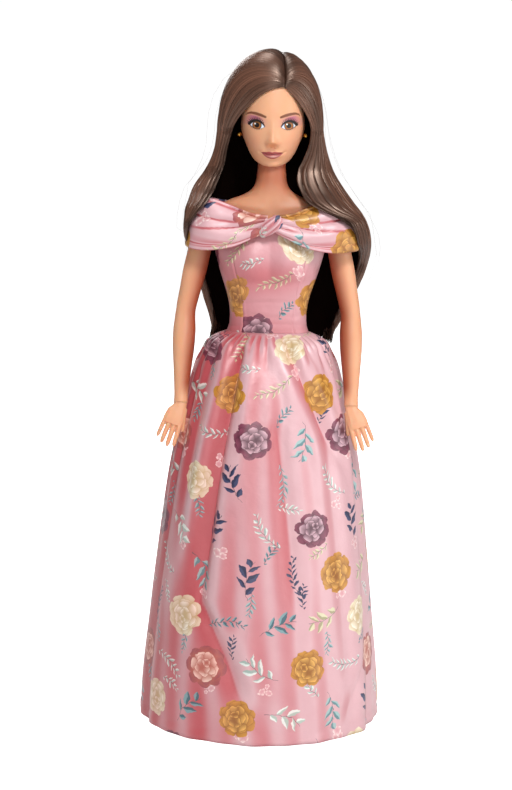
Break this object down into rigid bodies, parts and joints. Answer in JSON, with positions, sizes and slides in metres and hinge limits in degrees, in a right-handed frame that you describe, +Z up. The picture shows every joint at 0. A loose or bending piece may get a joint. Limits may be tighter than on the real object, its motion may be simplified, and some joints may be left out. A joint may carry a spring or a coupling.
{
  "type": "fashion doll",
  "caption": "Jointed fashion doll with long parted hair in a floor-length off-the-shoulder gown; head, shoulders, elbows, wrists, hips and knees move.",
  "frame": {"origin": "centre of the gown's hem on the floor, which is the bottom centre of the part's box", "axes": "+Z up, -Y the way the doll faces, +X to the doll's left"},
  "size_m": [0.1066, 0.1051, 0.3],
  "materials": {
    "skin_vinyl": "soft vinyl with a low sheen",
    "body_plastic": "moulded body shell",
    "white_nylon": "moulded neck knob",
    "hinge_plastic": "moulded hinge pin",
    "steel": "plain drawn rod",
    "gold_metal": "polished gold colour",
    "gown_satin": "dusty pink satin with a floral print",
    "fastener_tape": "hook-and-loop tape",
    "hair_fibre": "rooted dark brown synthetic hair",
    "shoe_plastic": "moulded pink shoe"
  },
  "bodies": {
    "torso": {"torso_front": "body_plastic", "torso_back": "body_plastic", "neck_knob": "white_nylon", "hip_axle": "steel", "bodice_front": "gown_satin", "bodice_side_left": "gown_satin", "bodice_side_right": "gown_satin", "bodice_back_left": "gown_satin", "bodice_back_right": "gown_satin", "closure_loop": "fastener_tape", "closure_hook": "fastener_tape", "closure_flap": "gown_satin", "band_left": "gown_satin", "band_right": "gown_satin", "band_twist": "gown_satin", "skirt_front": "gown_satin", "skirt_back_left": "gown_satin", "skirt_back_right": "gown_satin"},
    "head": {"head": "skin_vinyl", "hair_crown": "hair_fibre", "earring_left": "gold_metal", "earring_right": "gold_metal", "hair_side_right": "hair_fibre", "hair_back_right": "hair_fibre", "hair_back": "hair_fibre", "hair_back_left": "hair_fibre", "hair_side_left": "hair_fibre"},
    "upper_arm_left": {"upper_arm_left": "skin_vinyl", "elbow_left_pin": "hinge_plastic"},
    "forearm_left": {"forearm_left": "skin_vinyl"},
    "hand_left": {"hand_left": "skin_vinyl"},
    "thigh_left": {"thigh_left": "skin_vinyl", "knee_left_pin": "hinge_plastic"},
    "shin_left": {"shin_left": "skin_vinyl", "shoe_left": "shoe_plastic"},
    "upper_arm_right": {"upper_arm_right": "skin_vinyl", "elbow_right_pin": "hinge_plastic"},
    "forearm_right": {"forearm_right": "skin_vinyl"},
    "hand_right": {"hand_right": "skin_vinyl"},
    "thigh_right": {"thigh_right": "skin_vinyl", "knee_right_pin": "hinge_plastic"},
    "shin_right": {"shin_right": "skin_vinyl", "shoe_right": "shoe_plastic"}
  },
  "joints": [
    {"name": "head_turn", "type": "hinge", "parent": "torso", "child": "head", "pos_m": [0, 0, 0.2575], "axis": [0, 0, 1], "range_deg": [-75, 75], "deforming": ["hair_side_right", "hair_back_right", "hair_back", "hair_back_left", "hair_side_left"]},
    {"name": "shoulder_left", "type": "hinge", "parent": "torso", "child": "upper_arm_left", "pos_m": [0.0278, 0, 0.22601], "axis": [-1, 0, 0], "range_deg": [0, 120], "deforming": ["band_left"]},
    {"name": "elbow_left", "type": "hinge", "parent": "upper_arm_left", "child": "forearm_left", "pos_m": [0.0369, 0, 0.18399], "axis": [-0.9773, 0, -0.2116], "range_deg": [0, 50]},
    {"name": "wrist_left", "type": "hinge", "parent": "forearm_left", "child": "hand_left", "pos_m": [0.03774, -0.01282, 0.14453], "axis": [0.0202, -0.309, -0.9508], "range_deg": [-60, 60]},
    {"name": "hip_left", "type": "hinge", "parent": "torso", "child": "thigh_left", "pos_m": [0.0108, 0, 0.1475], "axis": [-1, 0, 0], "range_deg": [-14, 9]},
    {"name": "knee_left", "type": "hinge", "parent": "thigh_left", "child": "shin_left", "pos_m": [0.009, 0, 0.0825], "axis": [1, 0, 0], "range_deg": [0, 25]},
    {"name": "shoulder_right", "type": "hinge", "parent": "torso", "child": "upper_arm_right", "pos_m": [-0.0278, 0, 0.22601], "axis": [-1, 0, 0], "range_deg": [0, 120], "deforming": ["band_right"]},
    {"name": "elbow_right", "type": "hinge", "parent": "upper_arm_right", "child": "forearm_right", "pos_m": [-0.0369, 0, 0.18399], "axis": [-0.9773, 0, 0.2116], "range_deg": [0, 50]},
    {"name": "wrist_right", "type": "hinge", "parent": "forearm_right", "child": "hand_right", "pos_m": [-0.03774, -0.01282, 0.14453], "axis": [-0.0202, -0.309, -0.9508], "range_deg": [-60, 60]},
    {"name": "hip_right", "type": "hinge", "parent": "torso", "child": "thigh_right", "pos_m": [-0.0108, 0, 0.1475], "axis": [-1, 0, 0], "range_deg": [-14, 9]},
    {"name": "knee_right", "type": "hinge", "parent": "thigh_right", "child": "shin_right", "pos_m": [-0.009, 0, 0.0825], "axis": [1, 0, 0], "range_deg": [0, 25]}
  ]
}
